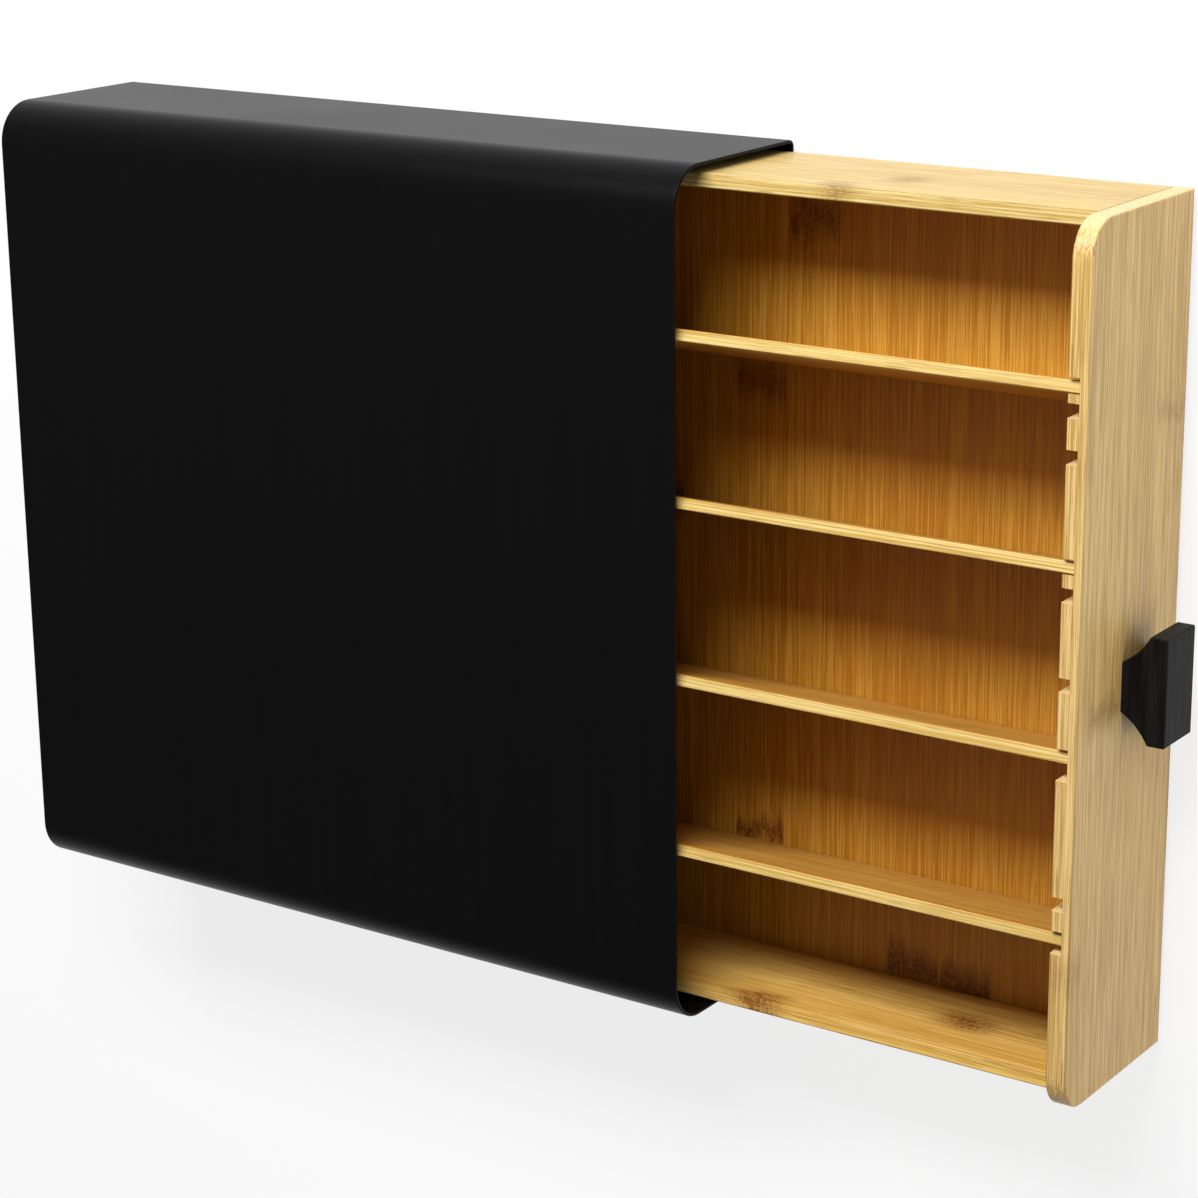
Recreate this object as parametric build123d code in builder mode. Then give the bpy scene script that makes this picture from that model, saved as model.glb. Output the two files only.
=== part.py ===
from build123d import *
import os
from math import cos, radians, sin, tan

# Capsule drawer: a bent steel sleeve with a bamboo drawer, loose dividers and a wooden knob.
# Millimetres. X runs across, -Y towards the user, +Z up.
# The origin is the centre of the sleeve's footprint on the counter.

# Sleeve
sleeve_width = 300.0
sleeve_depth = 300.0
sleeve_height = 75.0
sheet_thickness = 1.2
top_bend_radius = 15.0
base_bend_radius = 2.6
flange_width = 34.0
flange_corner_radius = 5.0
sheet_edge_radius = 0.4

# Back panel, spot-welded to the sleeve's sides by two bent tabs
panel_gap = 0.3
tab_depth = 12.0
tab_height = 40.0
tab_rise = 10.0
tab_bend_radius = 0.9

# Feet
foot_diameter = 16.0
foot_height = 2.0
foot_edge_radius = 0.5
foot_end_inset = 22.0

# Drawer in its sleeve
drawer_side_gap = 2.8
runner_gap = 0.2
board_top_gap = 1.4
rear_gap = 0.8
pull_out = 148.0

# Drawer boards, walls and floor
board_thickness = 7.2
wall_thickness = 5.0
wall_height = 54.0
floor_thickness = 5.0
floor_rise = 5.0
groove_depth = 2.0
glue_gap = 0.1
tongue_thickness = 2.4
tongue_drop = 4.0
wood_edge_radius = 0.7

# Slots for the dividers: straight sets for four and five equal lanes, and a leaning set
slot_width = 4.8
slot_depth = 4.2
straight_lane_counts = (4, 5)
lean_angle = 17.0
lean_slot_shares = (0.327, 0.132, -0.080, -0.290)
thinnest_tooth = 2.0

# Dividers
divider_thickness = 4.0
divider_end_gap = 0.4
divider_foot_gap = 0.2
divider_drop = 0.8
divider_edge_radius = 0.5

# Knob
knob_plate_width = 36.5
knob_plate_thickness = 6.2
knob_height = 20.5
knob_neck_width = 17.0
knob_neck_length = 9.3
knob_flank_hollow = 1.0
knob_offset = -8.0
knob_rise = 30.0
knob_edge_radius = 0.7

# Knob screws
screw_length = 16.0
screw_head_diameter = 7.0
screw_head_depth = 2.2
screw_head_rim = 0.3
screw_head_recess = 0.1
screw_shank_diameter = 3.5
screw_tip_length = 3.0
screw_spacing = 10.0
screw_gap = 0.05
recess_length = 3.6
recess_width = 0.9
recess_depth = 1.1

# How far a cut runs past the face that it opens
cut_overrun = 1.0

# Levels and planes that the pieces share
half_depth = sleeve_depth / 2
sleeve_base = foot_height
flange_top = sleeve_base + sheet_thickness
ceiling = sleeve_base + sleeve_height - sheet_thickness
inner_half_width = sleeve_width / 2 - sheet_thickness

drawer_width = 2 * (inner_half_width - drawer_side_gap)
drawer_length = sleeve_depth - sheet_thickness - rear_gap
drawer_bottom = flange_top + runner_gap
board_top = ceiling - board_top_gap
board_height = board_top - drawer_bottom
board_corner_radius = top_bend_radius - sheet_thickness - board_top_gap

front_y = -half_depth - pull_out
back_y = front_y + drawer_length
front_inner_y = front_y + board_thickness
back_inner_y = back_y - board_thickness
inner_length = back_inner_y - front_inner_y
middle_y = (front_y + back_y) / 2

floor_bottom = drawer_bottom + floor_rise
floor_top = floor_bottom + floor_thickness
floor_middle = (floor_bottom + floor_top) / 2
floor_width = drawer_width - 2 * wall_thickness + 2 * (groove_depth - glue_gap)
floor_length = inner_length + 2 * (groove_depth - glue_gap)

wall_x = (drawer_width - wall_thickness) / 2
tongue_height = wall_height - tongue_drop
tongue_middle = drawer_bottom + tongue_height / 2

lean = radians(lean_angle)
lean_slot_places = [share * drawer_width for share in lean_slot_shares]
straight_slot_places = [
    drawer_width * (lane / count - 1 / 2) for count in straight_lane_counts for lane in range(1, count)
]
# Distances down the leaning slot's middle line, from the level of the boards' top edge
divider_start = (divider_drop + divider_thickness / 2 * sin(lean)) / cos(lean)
divider_end = (board_top - floor_top - divider_foot_gap - divider_thickness / 2 * sin(lean)) / cos(lean)
divider_length = inner_length + 2 * (slot_depth - divider_end_gap)

knob_middle = drawer_bottom + knob_rise
screw_heights = {
    "knob_screw_lower": knob_middle - screw_spacing / 2,
    "knob_screw_upper": knob_middle + screw_spacing / 2,
}


def save(piece, label):
    """Name a finished piece and write it to its own file."""
    piece.part.label = label
    export_step(piece.part, f"parts/{label}.step")


def sleeve_section(inset):
    """The sleeve's rounded cross-section, moved in from its outer skin."""
    with BuildSketch() as section:
        with Locations((0, sleeve_base + sleeve_height / 2)):
            Rectangle(sleeve_width - 2 * inset, sleeve_height - 2 * inset)
        fillet(section.vertices().group_by(Axis.Y)[-1], top_bend_radius - inset)
        fillet(section.vertices().group_by(Axis.Y)[0], base_bend_radius - inset)
    return section.sketch


def lean_point(top_x, distance):
    """A point on a leaning slot's middle line, that far down from the boards' top edge."""
    return (top_x - distance * sin(lean), board_top - distance * cos(lean))


def screw_solid(height, gap, opening):
    """A countersunk screw along Y, grown by gap, with its head's rim carried on by opening."""
    head_y = front_inner_y - screw_head_recess - screw_head_rim
    rim_y = head_y + screw_head_rim + opening
    neck_y = head_y - screw_head_depth
    tip_y = head_y - screw_length - gap
    head_radius = screw_head_diameter / 2 + gap
    shank_radius = screw_shank_diameter / 2 + gap
    with BuildPart() as screw:
        with BuildSketch(Plane.YZ.offset(knob_offset)):
            with BuildLine():
                Polyline(
                    (rim_y, height),
                    (rim_y, height + head_radius),
                    (head_y, height + head_radius),
                    (neck_y, height + shank_radius),
                    (tip_y + screw_tip_length, height + shank_radius),
                    (tip_y, height),
                    close=True,
                )
            make_face()
        revolve(axis=Axis((knob_offset, 0, height), (0, 1, 0)))
    return screw.part


os.makedirs("parts", exist_ok=True)

# Sleeve: top plate, two sides and two return flanges bent from one sheet, open at both ends
outer_section = sleeve_section(0)
inner_section = sleeve_section(sheet_thickness)
with BuildPart() as sleeve:
    with BuildSketch(Plane.XZ.offset(-half_depth)):
        add(outer_section)
        add(inner_section, mode=Mode.SUBTRACT)
        with Locations((0, sleeve_base)):
            Rectangle(sleeve_width - 2 * flange_width, sleeve_height, mode=Mode.SUBTRACT)
    extrude(amount=sleeve_depth)
    fillet(sleeve.edges().filter_by(Axis.Z).group_by(SortBy.LENGTH)[0], flange_corner_radius)
    fillet(sleeve.faces().sort_by(Axis.Y)[0].edges(), sheet_edge_radius)
save(sleeve, "sleeve")

# Back panel: a flat sheet inside the sleeve's rear edge, with a tab bent forward at each side
panel_section = sleeve_section(sheet_thickness + panel_gap)
tab_x = inner_half_width - sheet_thickness / 2
tab_y = half_depth - tab_depth / 2
tab_middle = flange_top + tab_rise + tab_height / 2
with BuildPart() as back_panel:
    with BuildSketch(Plane.XZ.offset(-half_depth)):
        add(panel_section)
    extrude(amount=sheet_thickness)
    with Locations((-tab_x, tab_y, tab_middle), (tab_x, tab_y, tab_middle)):
        Box(sheet_thickness, tab_depth, tab_height)
    rear_edges = back_panel.edges().filter_by(Axis.Z).group_by(Axis.Y)[-1].sort_by(Axis.X)
    fillet([rear_edges[0], rear_edges[-1]], tab_bend_radius)
save(back_panel, "back_panel")

# Feet: one rubber disc under each end of both flanges
foot_x = sleeve_width / 2 - (flange_width + base_bend_radius) / 2
foot_y = half_depth - foot_end_inset
foot_places = {
    "foot_front_left": (-foot_x, -foot_y),
    "foot_front_right": (foot_x, -foot_y),
    "foot_rear_left": (-foot_x, foot_y),
    "foot_rear_right": (foot_x, foot_y),
}
for label, place in foot_places.items():
    with BuildPart() as foot:
        with BuildSketch():
            with Locations(place):
                Circle(foot_diameter / 2)
        extrude(amount=foot_height)
        fillet(foot.edges().sort_by(Axis.Z)[0], foot_edge_radius)
    save(foot, label)

# Drawer floor, held in grooves all round
with BuildPart() as drawer_floor:
    with Locations((0, middle_y, floor_middle)):
        Box(floor_width, floor_length, floor_thickness)
save(drawer_floor, "drawer_floor")

# Drawer side walls, each with a tongue at both ends and a groove for the floor
for label, side in (("drawer_side_left", -1), ("drawer_side_right", 1)):
    with BuildPart() as wall:
        with Locations((side * wall_x, middle_y, drawer_bottom + wall_height / 2)):
            Box(wall_thickness, inner_length, wall_height)
        fillet(wall.edges().filter_by(Axis.Y), wood_edge_radius)
        with Locations((side * wall_x, middle_y, tongue_middle)):
            Box(tongue_thickness, inner_length + 2 * (groove_depth - glue_gap), tongue_height)
        with Locations((0, middle_y, floor_middle)):
            Box(
                floor_width + 2 * glue_gap,
                floor_length + 2 * glue_gap,
                floor_thickness + 2 * glue_gap,
                mode=Mode.SUBTRACT,
            )
    save(wall, label)

# Front and back boards: the same slotted board twice, the front one drilled for the knob
screw_holes = [screw_solid(height, screw_gap, cut_overrun) for height in screw_heights.values()]
slot_height = board_top - floor_top + cut_overrun
lean_slot_end = divider_end + divider_foot_gap
lean_slot_length = lean_slot_end + (cut_overrun + slot_width / 2 * sin(lean)) / cos(lean)
for label, outer_y, inward in (("drawer_front", front_y, 1), ("drawer_back", back_y, -1)):
    inner_plane = Plane.XZ.offset(-outer_y - inward * board_thickness)
    with BuildPart() as board:
        with BuildSketch(Plane.XZ.offset(-outer_y)) as outline:
            with Locations((0, (drawer_bottom + board_top) / 2)):
                Rectangle(drawer_width, board_height)
            fillet(outline.vertices().group_by(Axis.Y)[-1], board_corner_radius)
        extrude(amount=-inward * board_thickness)
        fillet(board.edges().filter_by(Axis.Y, reverse=True), wood_edge_radius)
        # Grooves for the floor and the walls' tongues
        with Locations((0, middle_y, floor_middle)):
            Box(
                floor_width + 2 * glue_gap,
                floor_length + 2 * glue_gap,
                floor_thickness + 2 * glue_gap,
                mode=Mode.SUBTRACT,
            )
        with Locations((-wall_x, middle_y, tongue_middle), (wall_x, middle_y, tongue_middle)):
            Box(
                tongue_thickness + 2 * glue_gap,
                inner_length + 2 * groove_depth,
                tongue_height + 2 * glue_gap,
                mode=Mode.SUBTRACT,
            )
        # Slots, with the thin wood between two close slots cleared away at the top
        with BuildSketch(inner_plane):
            for place in straight_slot_places:
                with Locations((place, floor_top + slot_height / 2)):
                    Rectangle(slot_width, slot_height)
            for top_x in lean_slot_places:
                with Locations(lean_point(top_x, lean_slot_end - lean_slot_length / 2)):
                    Rectangle(slot_width, lean_slot_length, rotation=-lean_angle)
                for place in straight_slot_places:
                    tooth = top_x - place - slot_width / 2 - slot_width / (2 * cos(lean))
                    if 0 < tooth < thinnest_tooth:
                        cleared = tooth / tan(lean) + cut_overrun
                        with Locations(((top_x + place) / 2, board_top + cut_overrun - cleared / 2)):
                            Rectangle(top_x - place, cleared)
        extrude(amount=inward * slot_depth, mode=Mode.SUBTRACT)
        if label == "drawer_front":
            add(screw_holes, mode=Mode.SUBTRACT)
    save(board, label)

# Dividers: four loose strips standing in the leaning slots
for number, top_x in enumerate(lean_slot_places, start=1):
    with BuildPart() as divider:
        with BuildSketch(Plane.XZ.offset(-middle_y)):
            with Locations(lean_point(top_x, (divider_start + divider_end) / 2)):
                Rectangle(divider_thickness, divider_end - divider_start, rotation=-lean_angle)
        extrude(amount=divider_length / 2, both=True)
        fillet(divider.edges().filter_by(Axis.Y), divider_edge_radius)
    save(divider, f"divider_{number}")

# Knob: a flat plate on a flared neck, one section drawn in plan
plate_back_y = front_y - knob_neck_length
plate_front_y = plate_back_y - knob_plate_thickness
neck_left = (knob_offset - knob_neck_width / 2, front_y)
neck_right = (knob_offset + knob_neck_width / 2, front_y)
plate_left = knob_offset - knob_plate_width / 2
plate_right = knob_offset + knob_plate_width / 2
with BuildPart() as knob:
    with BuildSketch(Plane.XY.offset(knob_middle - knob_height / 2)):
        with BuildLine():
            SagittaArc(neck_left, (plate_left, plate_back_y), knob_flank_hollow)
            Polyline(
                (plate_left, plate_back_y),
                (plate_left, plate_front_y),
                (plate_right, plate_front_y),
                (plate_right, plate_back_y),
            )
            SagittaArc((plate_right, plate_back_y), neck_right, knob_flank_hollow)
            Line(neck_right, neck_left)
        make_face()
    extrude(amount=knob_height)
    fillet(knob.edges() - knob.edges().group_by(Axis.Y)[-1], knob_edge_radius)
    add(screw_holes, mode=Mode.SUBTRACT)
save(knob, "knob")

# Knob screws, driven from inside the drawer, each with a cross recess in its head
recess_y = front_inner_y - screw_head_recess - recess_depth / 2
for label, height in screw_heights.items():
    shape = screw_solid(height, 0, 0)
    with BuildPart() as screw:
        add(shape)
        with Locations((knob_offset, recess_y, height)):
            Box(recess_length, recess_depth, recess_width, mode=Mode.SUBTRACT)
            Box(recess_width, recess_depth, recess_length, mode=Mode.SUBTRACT)
    save(screw, label)
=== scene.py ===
import math

import bpy
from mathutils import Matrix, Vector


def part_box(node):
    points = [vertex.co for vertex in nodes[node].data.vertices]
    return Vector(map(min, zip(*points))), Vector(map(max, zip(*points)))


# Capsule drawer: bent black steel sleeve, laminated bamboo drawer, stained wooden knob.
# Metres, in the part's own frame: X across, -Y out of the sleeve's mouth, Z up.

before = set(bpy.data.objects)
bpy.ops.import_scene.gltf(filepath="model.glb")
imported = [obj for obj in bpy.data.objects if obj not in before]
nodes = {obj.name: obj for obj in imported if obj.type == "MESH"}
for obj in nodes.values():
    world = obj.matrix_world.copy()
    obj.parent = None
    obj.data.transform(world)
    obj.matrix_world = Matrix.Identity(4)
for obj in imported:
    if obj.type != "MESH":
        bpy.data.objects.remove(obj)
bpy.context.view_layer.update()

# Axis numbers, as the shaders pick them
X, Y, Z = 0, 1, 2

# The middle of a noise's range, and of a strip or a layer counted in its own width
MIDDLE = 0.5

WHITE = (1.0, 1.0, 1.0, 1.0)

# Camera: looks down on the drawer from its front and right. Roll in degrees, lens and sensor in millimetres
CAMERA_PLACE = (0.3124, -0.7137, 0.9347)
CAMERA_AIM = (-0.0124, -0.0937, 0.0400)
CAMERA_ROLL = -0.61
CAMERA_LENS = 96.38
CAMERA_SENSOR = 36.0

# Lamps: place, level side, other side, and the share of full white that each adds at its aim
LAMP_AIM = (0.0, -0.17, 0.02)
KEY_PLACE, KEY_LONG, KEY_SHORT, KEY_SHARE = (1.04, -0.16, 0.98), 1.10, 0.45, 1.40
FILL_PLACE, FILL_LONG, FILL_SHORT, FILL_SHARE = (-0.20, -1.80, 0.45), 1.20, 0.60, 0.19

# World: brightness at the horizon, at the horizon in reflections, overhead, and as the backdrop in sight
HORIZON_LEVEL, MIRRORED_LEVEL, OVERHEAD_LEVEL, BACKDROP_LEVEL = 0.64, 0.80, 0.12, 0.84

# Upward part of a direction where that brightness starts to fall, and where it is down, also in reflections
FALL_START, FALL_END, MIRRORED_FALL_END = 0.05, 0.65, 0.50

# Floor: grey that lights the part, and the share of glow in what is seen of it
FLOOR_WIDTH = 14.0
FLOOR_BOUNCE = 0.60
FLOOR_GLOW_SHARE = 0.80

# Bamboo colours, linear: the light and the dark tone of each kind of piece
FLOOR_TONES = (0.60, 0.320, 0.040), (0.44, 0.180, 0.010)
BOARD_TONES = (0.82, 0.572, 0.230), (0.54, 0.320, 0.086)
RIGHT_TONES = (0.79, 0.61, 0.250), (0.60, 0.40, 0.105)
LEFT_TONES = (0.95, 0.62, 0.172), (0.71, 0.40, 0.074)
DIVIDER_TONES = (0.71, 0.395, 0.088), (0.54, 0.250, 0.030)
DASH_BROWN = (0.26, 0.115, 0.016)
RING_TINT = (0.34, 0.19, 0.10)
# Painted highlight: multiplier that makes the upward faces of the dividers paler and whiter
PAINTED_TOP_HIGHLIGHT = (1.03, 1.37, 2.25)
# Painted shade: multiplier that darkens rounded edges along the grain, damping the light they catch
PAINTED_EDGE_SHADE = (0.74, 0.72, 0.68)
END_PALE = (0.80, 0.58, 0.280)
END_DOT = (0.46, 0.26, 0.080)

# Width of one bamboo strip in a panel, of one layer in its thickness, and of a glue line
STRIP = 0.0211
LAYER = 0.0025
THIN_LAYER = 0.0013
SLOTTED_LAYER = 0.0042
GLUE = 0.00030

# Lean of the dividers, from the upright
LEAN = math.radians(17.0)

# One seam of the floor panel that is in sight, along Y
FLOOR_SEAM = -0.1551

# Streaks in bamboo: noise cells per metre across the fibres and along them
BROAD_CELLS = 200.0, 4.0
BUNDLE_CELLS = 560.0, 7.0
FIBRE_CELLS = 1450.0, 12.0
DASH_CELLS = 2300.0, 32.0
HAIR_CELLS = 2100.0, 60.0
FEATHER_CELLS = 260.0, 40.0
STREAK_ROUGHNESS = 0.6

# How far the fibres of two strips are moved against each other, at most
STRIP_SHIFT = 3.0

# Values of the streaks' noise at which they begin and at which they are full
BUNDLE_LIMITS = 0.34, 0.66
FIBRE_LIMITS = 0.38, 0.62
DASH_LIMITS = 0.40, 0.60
HAIR_LIMITS = 0.58, 0.68

# How far each of these moves the tone between dark and light. Bundles differ from piece to piece
STRIP_AMOUNT, BROAD_AMOUNT, FIBRE_AMOUNT, DASH_AMOUNT, CLOUD_AMOUNT = 0.48, 0.45, 0.70, 0.75, 0.30
BOARD_BUNDLES, FLOOR_BUNDLES, RIGHT_BUNDLES, LEFT_BUNDLES, DIVIDER_BUNDLES = 0.40, 0.08, 0.50, 0.25, 0.75
CLOUD_CELLS = 12.0

# Share of brown in a hair and in a glue line, and the share of a glue line that is its dark core
HAIR_BROWN, GLUE_BROWN, GLUE_CORE = 0.42, 0.22, 0.25

# Growth rings: specks, how far fibres carry a ring along, and the share of a strip that fades at its sides
SPECK_CELLS, SPECK_LIMITS, SPECK_LEAST = 780.0, (0.36, 0.62), 0.55
FEATHER_REACH = 0.016
FLOOR_RING_EDGE, WALL_RING_EDGE = 0.05, 0.40

# End grain, the painted highlight on upward faces and the painted shade on rounded edges: limits of the
# surface direction or of the distance to a dot
END_LIMITS, DOT_CELLS, DOT_LIMITS = (0.55, 0.92), 1300.0, (0.10, 0.40)
PAINTED_HIGHLIGHT_LIMITS, PAINTED_EDGE_SHADE_LIMITS = (0.60, 0.90), (0.10, 0.42)

# Bamboo's surface: roughness and what fibres add to it, height of hairs and glue lines against fibres
BAMBOO_ROUGHNESS, FIBRE_ROUGHNESS = 0.34, 0.20
HAIR_HEIGHT, GLUE_HEIGHT = 0.5, -0.6

# Growth rings of each piece: strip number, place along the fibres, half length, strength
FLOOR_RINGS = (
    (-1, 0.127, 0.013, 0.90), (0, 0.068, 0.011, 0.85), (0, -0.097, 0.007, 1.0),
    (-3, -0.135, 0.012, 1.05), (-4, -0.139, 0.012, 1.05), (-6, 0.040, 0.012, 0.8),
    (2, 0.020, 0.012, 0.9), (4, -0.070, 0.011, 0.9), (5, 0.110, 0.012, 0.9), (6, -0.020, 0.011, 0.9),
)
FRONT_RINGS = (0, 0.0765, 0.006, 0.35), (2, -0.014, 0.008, 0.45), (3, -0.0975, 0.011, 0.30)
BACK_RINGS = (1, 0.052, 0.008, 0.4), (2, -0.095, 0.009, 0.4), (0, -0.030, 0.007, 0.4)
RIGHT_RINGS = (2, -0.199, 0.010, 0.60), (1, -0.213, 0.011, 0.60), (0, -0.075, 0.008, 0.5)
LEFT_RINGS = (2, -0.170, 0.017, 1.0), (1, -0.241, 0.017, 1.0), (2, -0.060, 0.010, 0.6)

# Dividers, with their growth rings: strip number, place before the first divider, step from each divider to
# the next, half length, strength
DIVIDERS = 4
DIVIDER_RINGS = (2, -0.105, -0.047, 0.007, 0.4), (0, -0.270, 0.052, 0.008, 0.5)

# Seeds of the strips' tones
FLOOR_SEED, FRONT_SEED, BACK_SEED, RIGHT_SEED, LEFT_SEED = 3.0, 11.0, 23.0, 31.0, 43.0
DIVIDER_SEED, DIVIDER_SEED_STEP = 50.0, 7.0

# Powder coat: colours, noise cells per metre, and roughness with what clouds and peel add to it
COAT_TONES = (0.0042, 0.0042, 0.0043), (0.0046, 0.0046, 0.0047)
COAT_STREAK_CELLS, COAT_STREAK_LIMITS = (8.0, 240.0, 1.0), (0.3, 0.7)
COAT_PEEL_CELLS, COAT_CLOUD_CELLS = 1500.0, 14.0
COAT_ROUGHNESS, COAT_CLOUD_ROUGHNESS, COAT_PEEL_ROUGHNESS = 0.26, 0.08, 0.06

# Stained wood: colours, noise cells per metre, and roughness with what fine grain adds to it
STAIN_TONES = (0.0042, 0.0040, 0.0040), (0.0110, 0.0103, 0.0100)
STAIN_RUBBED, STAIN_RUBBED_SHARE = (0.034, 0.031, 0.029), 0.5
STAIN_COARSE_CELLS, STAIN_COARSE_LIMITS = (30.0, 420.0, 420.0), (0.35, 0.68)
STAIN_FINE_CELLS, STAIN_FINE_LIMITS = (70.0, 1500.0, 1500.0), (0.60, 0.76)
STAIN_ROUGHNESS, STAIN_FINE_ROUGHNESS = 0.40, 0.25

# Rubber: colours, noise cells per metre, and roughness with what mottling adds to it
RUBBER_TONES = (0.012, 0.012, 0.012), (0.030, 0.030, 0.030)
RUBBER_MOTTLE_CELLS, RUBBER_SPECK_CELLS = 260.0, 2400.0
RUBBER_ROUGHNESS, RUBBER_MOTTLE_ROUGHNESS = 0.70, 0.15

# Zinc on the screws: colours, noise cells per metre, and roughness with what turning marks add to it
ZINC_TONES = (0.46, 0.44, 0.38), (0.62, 0.60, 0.55)
ZINC_MARK_CELLS, ZINC_MOTTLE_CELLS = (1.0, 4000.0, 1.0), 700.0
ZINC_ROUGHNESS, ZINC_MARK_ROUGHNESS = 0.24, 0.20


class Shader:
    """Builds the nodes of one new material or world."""

    def __init__(self, owner):
        owner.use_nodes = True
        self.owner = owner
        self.tree = owner.node_tree
        self.tree.nodes.clear()

    def put(self, socket, value):
        """Feeds an input with a link or a constant."""
        if isinstance(value, bpy.types.NodeSocket):
            self.tree.links.new(value, socket)
        elif value is not None:
            socket.default_value = value

    def node(self, kind, settings=None, **inputs):
        """Adds a node, with its settings and its inputs by name."""
        made = self.tree.nodes.new(kind)
        for key, value in (settings or {}).items():
            setattr(made, key, value)
        for key, value in inputs.items():
            self.put(made.inputs[key.replace("_", " ")], value)
        return made

    def math(self, operation, first, second=None, third=None, clamp=False):
        """One sum with numbers or sockets."""
        made = self.node("ShaderNodeMath", {"operation": operation, "use_clamp": clamp})
        for socket, value in zip(made.inputs, (first, second, third)):
            self.put(socket, value)
        return made.outputs[0]

    def plus(self, first, second):
        return self.math("ADD", first, second)

    def minus(self, first, second):
        return self.math("SUBTRACT", first, second)

    def times(self, first, second):
        return self.math("MULTIPLY", first, second)

    def total(self, start, *parts):
        """A start plus values, each times its amount."""
        for value, amount in parts:
            start = self.plus(start, self.times(value, amount))
        return start

    def ramp(self, value, low, high, to_low=0.0, to_high=1.0):
        """Smooth step of a value from one range to another."""
        made = self.node(
            "ShaderNodeMapRange", {"interpolation_type": "SMOOTHSTEP"},
            Value=value, From_Min=low, From_Max=high, To_Min=to_low, To_Max=to_high,
        )
        return made.outputs[0]

    def mix(self, share, first, second, blend="MIX"):
        """Mixes two colours."""
        settings = {"data_type": "RGBA", "blend_type": blend, "clamp_factor": True}
        made = self.node("ShaderNodeMix", settings)
        self.put(made.inputs[0], share)
        for socket, value in ((made.inputs[6], first), (made.inputs[7], second)):
            self.put(socket, (*value, 1.0) if isinstance(value, tuple) else value)
        return made.outputs[2]

    def mix_numbers(self, share, first, second):
        """Mixes two numbers."""
        made = self.node("ShaderNodeMix")
        for place, value in ((0, share), (2, first), (3, second)):
            self.put(made.inputs[place], value)
        return made.outputs[0]

    def mix_surfaces(self, share, first, second):
        """Mixes what two shader nodes give."""
        made = self.node("ShaderNodeMixShader")
        for socket, value in zip(made.inputs, (share, first.outputs[0], second.outputs[0])):
            self.put(socket, value)
        return made

    def vector(self, x, y, z):
        return self.node("ShaderNodeCombineXYZ", X=x, Y=y, Z=z).outputs[0]

    def parts(self, vector):
        """A vector's three parts, as sockets."""
        return self.node("ShaderNodeSeparateXYZ", Vector=vector).outputs

    def place(self):
        """The point's coordinates in the part's frame, as three sockets."""
        return self.parts(self.node("ShaderNodeTexCoord").outputs["Object"])

    def noise(self, vector, scale=1.0, detail=2.0, roughness=0.5):
        made = self.node("ShaderNodeTexNoise", Vector=vector, Scale=scale, Detail=detail, Roughness=roughness)
        return made.outputs["Fac"]

    def stretched_noise(self, place, cells, detail, roughness=0.5):
        """Noise with its own number of cells per metre along each of three sockets."""
        stretched = self.vector(*(self.times(value, count) for value, count in zip(place, cells)))
        return self.noise(stretched, detail=detail, roughness=roughness)

    def rays(self):
        """Whether a ray comes from the camera, and whether a shiny or clear surface sent it."""
        path = self.node("ShaderNodeLightPath").outputs
        return path["Is Camera Ray"], self.math("MAXIMUM", path["Is Glossy Ray"], path["Is Transmission Ray"])

    def close(self, surface, kind="ShaderNodeOutputMaterial"):
        """Sends a shader node to the output."""
        self.put(self.node(kind).inputs["Surface"], surface.outputs[0])
        return self.owner

    def finish(self, colour, roughness, height, bump, depth, metallic=0.0, specular=0.5):
        """Closes a material with one surface shader and its relief."""
        relief = self.node("ShaderNodeBump", Strength=bump, Distance=depth, Height=height)
        surface = self.node(
            "ShaderNodeBsdfPrincipled", Base_Color=colour, Roughness=roughness, Metallic=metallic,
            Specular_IOR_Level=specular, Normal=relief.outputs[0],
        )
        return self.close(surface)


def new_material(name):
    return Shader(bpy.data.materials.new(name))


def dress(names, material):
    """Gives a material to CAD nodes."""
    for name in names:
        for slot in nodes[name].material_slots:
            slot.material = material


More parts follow.
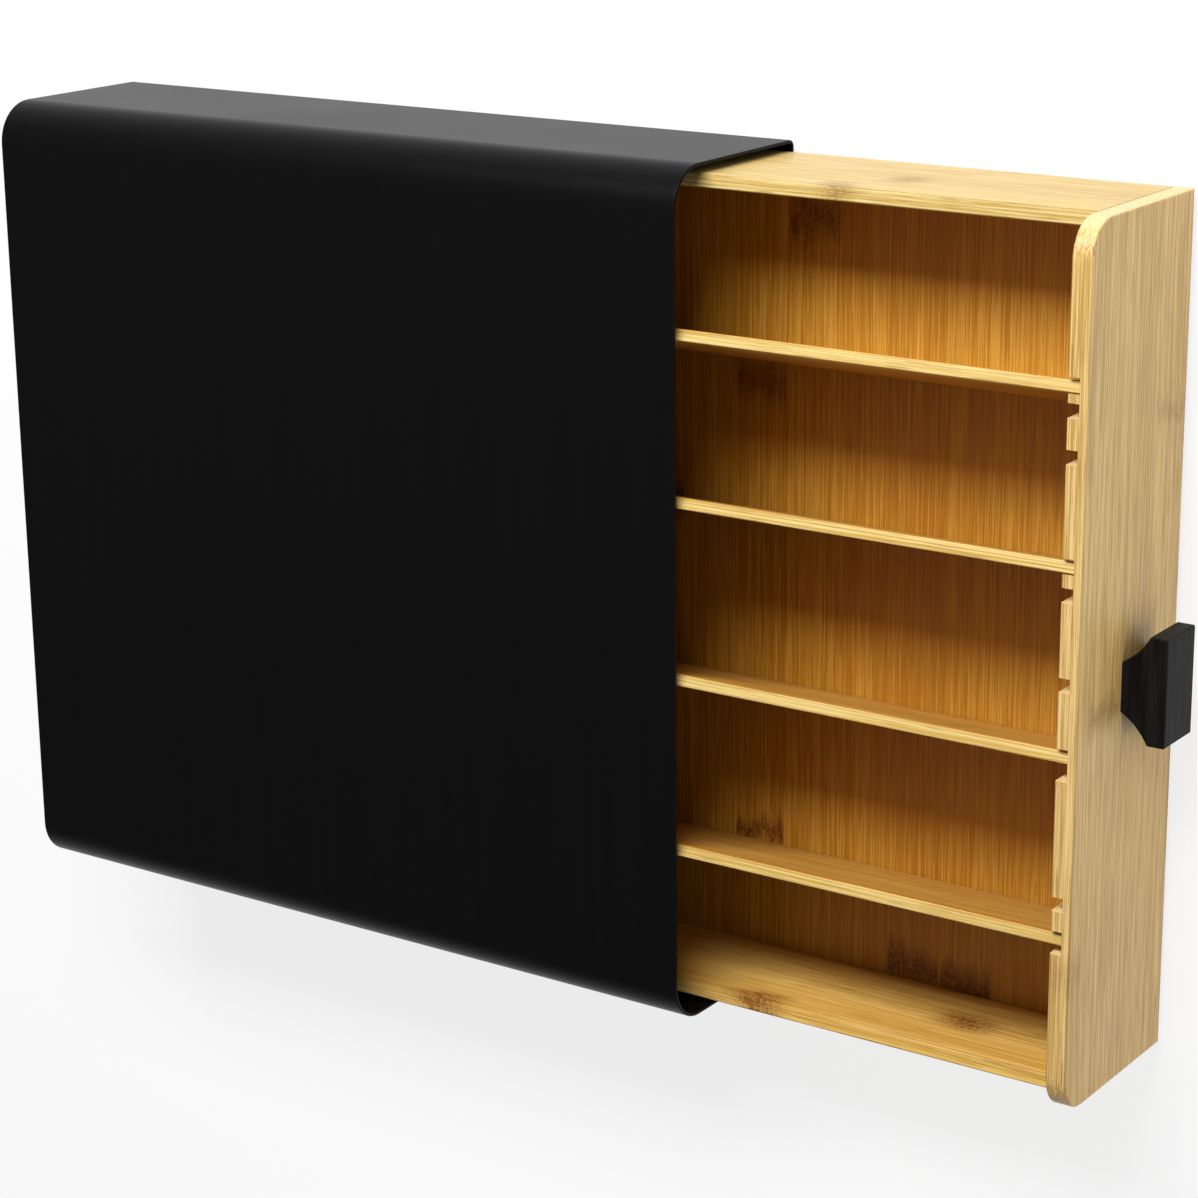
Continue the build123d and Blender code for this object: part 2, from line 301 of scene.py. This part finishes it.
def bamboo(name, grain, across, tones, first_seam, rings, seed, first_layer=0.0, layer=LAYER, lean=0.0,
           ring_edge=0.0, bundles=BOARD_BUNDLES):
    """Laminated bamboo. grain and across are axis numbers. first_seam and first_layer are where one strip
    and one layer start. rings lists the growth rings. ring_edge is the share of a strip over which a ring
    fades out at the strip's sides. bundles is how strongly bundles of fibres stand out."""
    s = new_material(name)
    place = s.place()
    point = s.vector(*place)
    depth = ({X, Y, Z} - {grain, across}).pop()
    along, side, through = place[grain], place[across], place[depth]
    if lean:
        through = s.minus(s.times(through, math.cos(lean)), s.times(side, math.sin(lean)))

    # Strips side by side and layers on top of each other, each with its own tone and run of fibres
    strip_place = s.math("DIVIDE", s.minus(side, first_seam), STRIP)
    layer_place = s.math("DIVIDE", s.minus(through, first_layer), layer)
    strip = s.math("FLOOR", strip_place)
    strip_tone = s.node(
        "ShaderNodeTexWhiteNoise", {"noise_dimensions": "2D"},
        Vector=s.vector(s.plus(strip, seed), s.math("FLOOR", layer_place), 0.0),
    ).outputs["Value"]
    shifted = s.plus(along, s.times(strip_tone, STRIP_SHIFT))

    def streaks(cells, detail=1.0):
        wide, long = cells
        return s.stretched_noise((side, through, shifted), (wide, wide, long), detail, STREAK_ROUGHNESS)

    broad = streaks(BROAD_CELLS)
    bundle = s.ramp(streaks(BUNDLE_CELLS), *BUNDLE_LIMITS)
    fibre = s.ramp(streaks(FIBRE_CELLS), *FIBRE_LIMITS)
    dash = s.ramp(streaks(DASH_CELLS), *DASH_LIMITS)
    hair = streaks(HAIR_CELLS)
    cloud = s.noise(point, CLOUD_CELLS)
    amounts = (
        (strip_tone, STRIP_AMOUNT), (broad, BROAD_AMOUNT), (bundle, bundles),
        (fibre, FIBRE_AMOUNT), (dash, DASH_AMOUNT), (cloud, CLOUD_AMOUNT),
    )
    tone = s.total(MIDDLE, *((s.minus(value, MIDDLE), amount) for value, amount in amounts))
    light, dark = tones
    colour = s.mix(tone, dark, light)
    colour = s.mix(s.ramp(hair, *HAIR_LIMITS, to_high=HAIR_BROWN), colour, DASH_BROWN)

    # Glue lines between strips and between layers
    glue = 0.0
    off_strip = s.math("ABSOLUTE", s.minus(s.math("FRACT", strip_place), MIDDLE))
    off_layer = s.math("ABSOLUTE", s.minus(s.math("FRACT", layer_place), MIDDLE))
    for value, width in ((off_strip, STRIP), (off_layer, layer)):
        share = GLUE / width
        glue = s.math("MAXIMUM", glue, s.ramp(value, MIDDLE - share, MIDDLE - share * GLUE_CORE))
    colour = s.mix(s.times(glue, GLUE_BROWN), colour, DASH_BROWN)

    # Growth rings: a speckled dark patch across one strip, feathered along the grain
    speck = s.noise(point, SPECK_CELLS, roughness=STREAK_ROUGHNESS)
    feather = s.times(s.minus(streaks(FEATHER_CELLS, detail=2.0), MIDDLE), FEATHER_REACH)
    patch = 0.0
    for number, middle, half_length, strength in rings:
        here = s.math("COMPARE", strip, float(number), MIDDLE)
        away = s.math("ABSOLUTE", s.plus(s.minus(along, middle), feather))
        ring = s.times(here, s.ramp(away, half_length, 0.0, to_high=strength))
        patch = s.math("MAXIMUM", patch, ring)
    if ring_edge:
        patch = s.times(patch, s.ramp(off_strip, MIDDLE, MIDDLE - ring_edge))
    stain = s.math("MULTIPLY", patch, s.ramp(speck, *SPECK_LIMITS, to_low=SPECK_LEAST), clamp=True)
    colour = s.mix(stain, colour, RING_TINT, "MULTIPLY")

    # End grain where the surface cuts across the fibres
    normal = s.parts(s.node("ShaderNodeNewGeometry").outputs["Normal"])
    end = s.ramp(s.math("ABSOLUTE", normal[grain]), *END_LIMITS)
    dots = s.node("ShaderNodeTexVoronoi", Vector=s.vector(side, through, 0.0), Scale=DOT_CELLS)
    end_colour = s.mix(s.ramp(dots.outputs["Distance"], *DOT_LIMITS), END_DOT, END_PALE)
    colour = s.mix(end, colour, end_colour)

    # Painted highlight: the upward faces of a leaning strip are made paler and whiter, as if the lamp glared
    # on them. Painted shade: rounded edges along the grain are made a little darker, damping the light they
    # catch
    if lean:
        colour = s.mix(s.ramp(normal[Z], *PAINTED_HIGHLIGHT_LIMITS), colour, PAINTED_TOP_HIGHLIGHT, "MULTIPLY")
    else:
        rounding = s.math("ABSOLUTE", s.times(normal[across], normal[depth]))
        colour = s.mix(s.ramp(rounding, *PAINTED_EDGE_SHADE_LIMITS), colour, PAINTED_EDGE_SHADE, "MULTIPLY")

    rough = s.total(BAMBOO_ROUGHNESS, (fibre, FIBRE_ROUGHNESS))
    height = s.total(fibre, (hair, HAIR_HEIGHT), (glue, GLUE_HEIGHT))
    return s.finish(colour, rough, height, bump=0.22, depth=0.00012)


def painted_steel():
    """Satin black powder coat with a fine texture and faint rolling streaks of the sheet."""
    s = new_material("black_powder_coat")
    place = s.place()
    point = s.vector(*place)
    streak = s.stretched_noise(place, COAT_STREAK_CELLS, detail=3.0)
    peel = s.noise(point, COAT_PEEL_CELLS)
    cloud = s.noise(point, COAT_CLOUD_CELLS, detail=3.0)
    colour = s.mix(s.ramp(streak, *COAT_STREAK_LIMITS), *COAT_TONES)
    rough = s.total(COAT_ROUGHNESS, (cloud, COAT_CLOUD_ROUGHNESS), (peel, COAT_PEEL_ROUGHNESS))
    return s.finish(colour, rough, peel, bump=0.04, depth=0.00012, specular=0.060)


def stained_wood():
    """Black stained wood with open grain along X and paler rubbed fibres."""
    s = new_material("black_stained_wood")
    place = s.place()
    coarse = s.stretched_noise(place, STAIN_COARSE_CELLS, detail=3.0, roughness=STREAK_ROUGHNESS)
    fine = s.stretched_noise(place, STAIN_FINE_CELLS, detail=3.0, roughness=STREAK_ROUGHNESS)
    colour = s.mix(s.ramp(coarse, *STAIN_COARSE_LIMITS), *STAIN_TONES)
    rubbed = s.ramp(fine, *STAIN_FINE_LIMITS, to_high=STAIN_RUBBED_SHARE)
    colour = s.mix(rubbed, colour, STAIN_RUBBED)
    rough = s.total(STAIN_ROUGHNESS, (fine, STAIN_FINE_ROUGHNESS))
    return s.finish(colour, rough, s.plus(coarse, fine), bump=0.35, depth=0.00025, specular=0.10)


def rubber():
    """Matt black rubber with a moulded texture."""
    s = new_material("foot_rubber")
    point = s.vector(*s.place())
    mottle = s.noise(point, RUBBER_MOTTLE_CELLS, detail=3.0)
    speck = s.noise(point, RUBBER_SPECK_CELLS, detail=1.0)
    colour = s.mix(mottle, *RUBBER_TONES)
    rough = s.total(RUBBER_ROUGHNESS, (mottle, RUBBER_MOTTLE_ROUGHNESS))
    return s.finish(colour, rough, speck, bump=0.20, depth=0.0001, specular=0.30)


def screw_steel():
    """Zinc-plated screw steel with turning marks."""
    s = new_material("screw_zinc")
    place = s.place()
    marks = s.stretched_noise(place, ZINC_MARK_CELLS, detail=2.0)
    mottle = s.noise(s.vector(*place), ZINC_MOTTLE_CELLS)
    colour = s.mix(mottle, *ZINC_TONES)
    rough = s.total(ZINC_ROUGHNESS, (marks, ZINC_MARK_ROUGHNESS))
    return s.finish(colour, rough, marks, bump=0.15, depth=0.00005, metallic=1.0)


def dress_part():
    """Gives every CAD node its material."""
    dress(["sleeve", "back_panel"], painted_steel())
    dress(["knob"], stained_wood())
    dress([name for name in nodes if name.startswith("foot_")], rubber())
    dress([name for name in nodes if name.startswith("knob_screw_")], screw_steel())

    # Floor panel: fibres across the drawer, strips counted from one seam in sight
    dress(["drawer_floor"], bamboo(
        "bamboo_floor", X, Y, FLOOR_TONES, FLOOR_SEAM, FLOOR_RINGS, FLOOR_SEED,
        ring_edge=FLOOR_RING_EDGE, bundles=FLOOR_BUNDLES,
    ))

    # Boards: fibres across the drawer, strips one above another, the slotted layer glued to a plain one
    low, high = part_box("drawer_front")
    dress(["drawer_front"], bamboo(
        "bamboo_front", X, Z, BOARD_TONES, low.z, FRONT_RINGS, FRONT_SEED,
        first_layer=high.y - SLOTTED_LAYER, layer=SLOTTED_LAYER,
    ))
    dress(["drawer_back"], bamboo(
        "bamboo_back", X, Z, BOARD_TONES, low.z, BACK_RINGS, BACK_SEED,
        first_layer=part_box("drawer_back")[0].y, layer=SLOTTED_LAYER,
    ))

    # Walls: fibres along the drawer
    walls = (
        ("right", RIGHT_TONES, RIGHT_RINGS, RIGHT_SEED, RIGHT_BUNDLES),
        ("left", LEFT_TONES, LEFT_RINGS, LEFT_SEED, LEFT_BUNDLES),
    )
    for side, tones, rings, seed, bundles in walls:
        wall = f"drawer_side_{side}"
        dress([wall], bamboo(
            f"bamboo_side_{side}", Y, Z, tones, low.z, rings, seed,
            first_layer=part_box(wall)[0].x, ring_edge=WALL_RING_EDGE, bundles=bundles,
        ))

    # Dividers: fibres along the drawer, growth rings at different places
    for number in range(1, DIVIDERS + 1):
        rings = [
            (strip, start + step * number, half_length, strength)
            for strip, start, step, half_length, strength in DIVIDER_RINGS
        ]
        dress([f"divider_{number}"], bamboo(
            f"bamboo_divider_{number}", Y, Z, DIVIDER_TONES, low.z, rings,
            DIVIDER_SEED + DIVIDER_SEED_STEP * number, layer=THIN_LAYER, lean=LEAN,
            ring_edge=WALL_RING_EDGE, bundles=DIVIDER_BUNDLES,
        ))


def add_lamp(name, place, long_side, short_side, share):
    """A soft lamp whose power gives its share of full white at the aim."""
    toward = Vector(LAMP_AIM) - Vector(place)
    data = bpy.data.lights.new(name, "AREA")
    data.shape = "RECTANGLE"
    data.size, data.size_y = long_side, short_side
    data.energy = share * math.pi ** 2 * toward.length_squared
    lamp = bpy.data.objects.new(name, data)
    lamp.location = place
    lamp.rotation_euler = toward.to_track_quat("-Z", "Y").to_euler()
    bpy.context.collection.objects.link(lamp)


def add_world():
    """Soft studio surround: bright at the horizon and dimmer overhead, with a brighter horizon in
    reflections. In sight it is as pale as the floor's far edge."""
    s = Shader(bpy.data.worlds.new("studio"))
    upward = s.parts(s.node("ShaderNodeTexCoord").outputs["Generated"])[Z]
    in_sight, mirrored = s.rays()
    lighting = s.ramp(upward, FALL_START, FALL_END, HORIZON_LEVEL, OVERHEAD_LEVEL)
    reflected = s.ramp(upward, FALL_START, MIRRORED_FALL_END, MIRRORED_LEVEL, OVERHEAD_LEVEL)
    strength = s.mix_numbers(in_sight, s.mix_numbers(mirrored, lighting, reflected), BACKDROP_LEVEL)
    background = s.node("ShaderNodeBackground", Color=WHITE, Strength=strength)
    bpy.context.scene.world = s.close(background, "ShaderNodeOutputWorld")


def add_floor():
    """A wide pale floor that stays white to the eye and in reflections and keeps the shadow."""
    half = FLOOR_WIDTH / 2
    corners = [(-half, -half, 0), (half, -half, 0), (half, half, 0), (-half, half, 0)]
    mesh = bpy.data.meshes.new("floor")
    mesh.from_pydata(corners, [], [(0, 1, 2, 3)])
    floor = bpy.data.objects.new("floor", mesh)
    bpy.context.collection.objects.link(floor)
    s = new_material("pale_floor")
    in_sight, mirrored = s.rays()
    bounce = s.node("ShaderNodeBsdfDiffuse", Color=(FLOOR_BOUNCE, FLOOR_BOUNCE, FLOOR_BOUNCE, 1.0))
    white = s.node("ShaderNodeBsdfDiffuse", Color=WHITE)
    glow = s.node("ShaderNodeEmission", Strength=1.0)
    shown = s.mix_surfaces(FLOOR_GLOW_SHARE, white, glow)
    seen = s.math("MAXIMUM", in_sight, mirrored)
    mesh.materials.append(s.close(s.mix_surfaces(seen, bounce, shown)))


def add_camera():
    """The photograph's viewpoint, with the part's +X axis up in the picture."""
    data = bpy.data.cameras.new("camera")
    data.lens = CAMERA_LENS
    data.sensor_width = CAMERA_SENSOR
    camera = bpy.data.objects.new("camera", data)
    back = (Vector(CAMERA_PLACE) - Vector(CAMERA_AIM)).normalized()
    right = Vector((1, 0, 0)).cross(back).normalized()
    up = back.cross(right)
    turn = Matrix((right, up, back)).transposed() @ Matrix.Rotation(math.radians(CAMERA_ROLL), 3, "Z")
    camera.matrix_world = Matrix.Translation(CAMERA_PLACE) @ turn.to_4x4()
    bpy.context.collection.objects.link(camera)
    bpy.context.scene.camera = camera


dress_part()
add_world()
add_floor()
add_lamp("key", KEY_PLACE, KEY_LONG, KEY_SHORT, KEY_SHARE)
add_lamp("fill", FILL_PLACE, FILL_LONG, FILL_SHORT, FILL_SHARE)
add_camera()
bpy.context.scene.view_settings.view_transform = "Standard"
